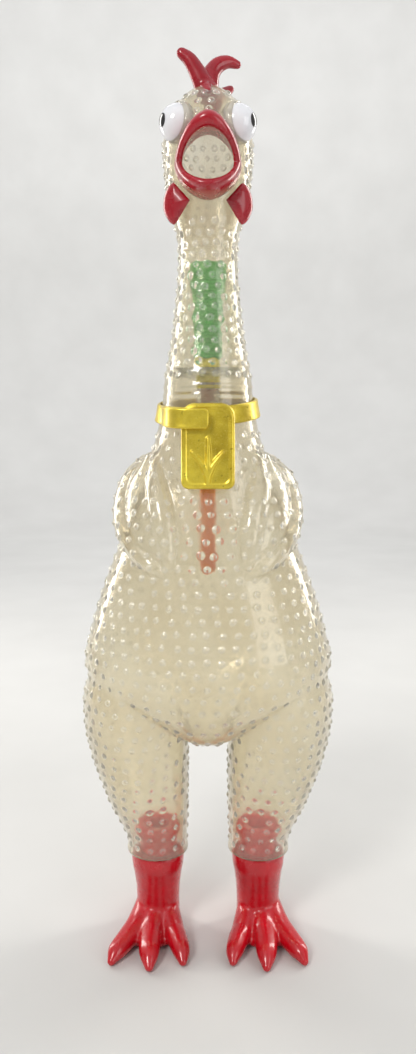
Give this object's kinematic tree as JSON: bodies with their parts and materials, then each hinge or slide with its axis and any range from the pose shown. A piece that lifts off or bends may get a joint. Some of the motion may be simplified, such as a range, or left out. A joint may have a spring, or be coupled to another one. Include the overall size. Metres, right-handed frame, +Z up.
{
  "type": "rubber chicken",
  "caption": "Standing hollow vinyl rubber chicken with an open beak, comb, collar with tag, folded wings, plugged-in feet and a reed whistle inside the neck.",
  "frame": {"origin": "on the ground, in the middle of the toy's footprint box", "axes": "+Z up, the chicken faces -Y, its own left side is +X"},
  "size_m": [0.1468, 0.1034, 0.5069],
  "materials": {
    "clear_vinyl": "milky clear soft vinyl with a satin gloss and rows of small bumps",
    "red_vinyl": "glossy dark red",
    "white_paint": "glossy white paint",
    "black_paint": "glossy black paint",
    "gold_paint": "gold paint",
    "orange_plastic": "orange moulded tube",
    "clear_plastic": "clear moulded plastic",
    "yellow_plastic": "yellow moulded plastic",
    "green_plastic": "green moulded plastic",
    "reed_brass": "thin brass leaf"
  },
  "bodies": {
    "torso": {"torso_skin": "clear_vinyl", "collar_strap": "gold_paint", "collar_tag": "gold_paint"},
    "belly": {"belly_panel": "clear_vinyl"},
    "leg_left": {"leg_skin_left": "clear_vinyl", "foot_left": "red_vinyl"},
    "leg_right": {"leg_skin_right": "clear_vinyl", "foot_right": "red_vinyl"},
    "neck": {"neck_skin": "clear_vinyl", "bulkhead_web": "clear_plastic", "intake_tube": "orange_plastic", "tube_coupling": "clear_plastic", "whistle_base": "yellow_plastic", "whistle_barrel": "green_plastic", "reed_seat": "clear_plastic", "reed_wedge": "yellow_plastic"},
    "reed": {"reed": "reed_brass"},
    "head": {"head_skin": "clear_vinyl", "beak": "red_vinyl", "comb": "red_vinyl", "wattle_left": "red_vinyl", "wattle_right": "red_vinyl", "eye_left": "white_paint", "eye_right": "white_paint", "pupil_left": "black_paint", "pupil_right": "black_paint"}
  },
  "joints": [
    {"name": "neck_bend", "type": "hinge", "parent": "torso", "child": "neck", "pos_m": [0, 0, 0.296], "axis": [1, 0, 0], "range_deg": [-20, 11], "stiffness_Nm_per_rad": 1.5},
    {"name": "head_nod", "type": "hinge", "parent": "neck", "child": "head", "pos_m": [0, 0, 0.4], "axis": [1, 0, 0], "range_deg": [-35, 22], "stiffness_Nm_per_rad": 0.6},
    {"name": "belly_squeeze", "type": "slide", "parent": "torso", "child": "belly", "axis": [0, 1, 0], "range_m": [0, 0.015], "stiffness_N_per_m": 300},
    {"name": "leg_left_swing", "type": "hinge", "parent": "torso", "child": "leg_left", "pos_m": [0.04, 0, 0.1], "axis": [1, 0, 0], "range_deg": [-20, 20], "stiffness_Nm_per_rad": 8},
    {"name": "leg_right_swing", "type": "hinge", "parent": "torso", "child": "leg_right", "pos_m": [-0.04, 0, 0.1], "axis": [1, 0, 0], "range_deg": [-20, 20], "stiffness_Nm_per_rad": 8},
    {"name": "reed_buzz", "type": "hinge", "parent": "neck", "child": "reed", "pos_m": [0, -0.0002, 0.354], "axis": [1, 0, 0], "range_deg": [0, 3.5], "stiffness_Nm_per_rad": 0.01}
  ]
}
